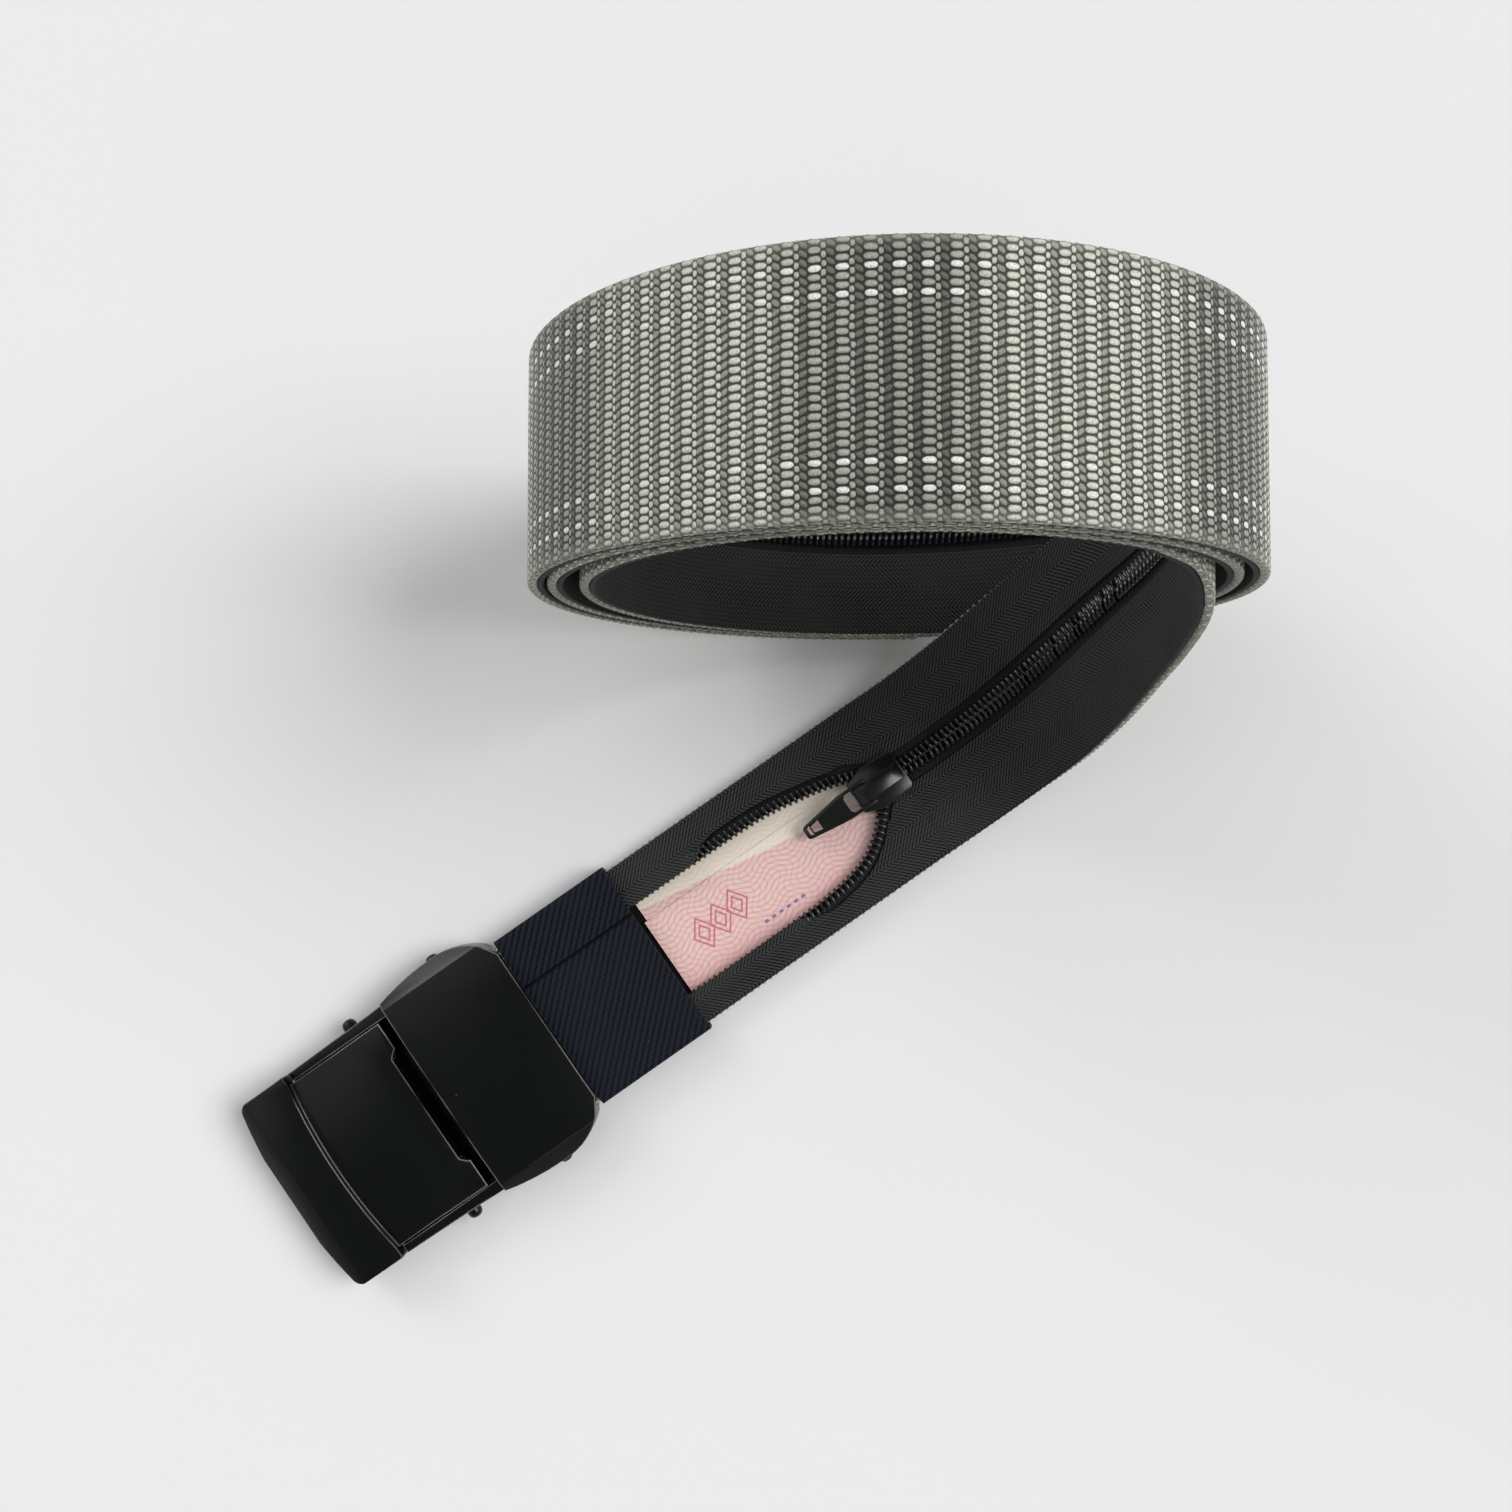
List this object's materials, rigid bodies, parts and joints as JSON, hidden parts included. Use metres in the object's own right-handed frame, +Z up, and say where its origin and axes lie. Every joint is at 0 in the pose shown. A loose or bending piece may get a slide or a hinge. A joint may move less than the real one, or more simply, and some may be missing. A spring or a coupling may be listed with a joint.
{
  "type": "travel money belt",
  "caption": "Rolled webbing travel belt with a zipped inner pocket for folded notes, a fabric keeper sleeve and a cam lever buckle.",
  "frame": {"origin": "on the table under the buckle's cover, on the belt's centre line", "axes": "+X along the straight run from the buckle towards the roll, +Y across the belt, +Z up"},
  "size_m": [0.2333, 0.1187, 0.1218],
  "materials": {
    "webbing_grey": "woven",
    "lining_black": "matte weave",
    "nylon_black": "satin",
    "metal_black": "satin",
    "steel": "satin",
    "slider_black": "semi gloss",
    "twill_navy": "twill",
    "note_paper": "matte"
  },
  "bodies": {
    "belt": {"webbing": "webbing_grey", "lining_far": "lining_black", "lining_near": "lining_black", "lining_tail": "lining_black", "zip_tape_far": "lining_black", "zip_tape_near": "lining_black", "closed_teeth_far": "nylon_black", "closed_teeth_near": "nylon_black", "open_teeth_far": "nylon_black", "open_teeth_near": "nylon_black", "zip_end_stop": "nylon_black", "keeper_sleeve": "twill_navy", "keeper_flap": "twill_navy", "buckle_frame": "metal_black", "cover_plate": "metal_black", "clamp_teeth": "metal_black", "lever_pin": "metal_black", "clamp_pin": "metal_black", "strap_bar": "steel", "note_top_leaf": "note_paper", "note_under_leaf": "note_paper", "pocket_backing": "lining_black"},
    "lever": {"cam_lever": "metal_black"},
    "slider": {"slider_body": "slider_black", "slider_bridge": "slider_black"},
    "pull": {"pull_tab": "slider_black"}
  },
  "joints": [
    {"name": "lever_flip", "type": "hinge", "parent": "belt", "child": "lever", "pos_m": [-0.0164, 0, 0.0046], "axis": [0, 1, 0], "range_deg": [0, 60]},
    {"name": "zip_slide", "type": "slide", "parent": "belt", "child": "slider", "axis": [-1, 0, 0], "range_m": [0, 0.036], "deforming": ["open_teeth_far", "open_teeth_near"]},
    {"name": "pull_swing", "type": "hinge", "parent": "slider", "child": "pull", "pos_m": [0.0979, 0.0015, 0.00712], "axis": [0, 1, 0], "range_deg": [0, 150]}
  ]
}
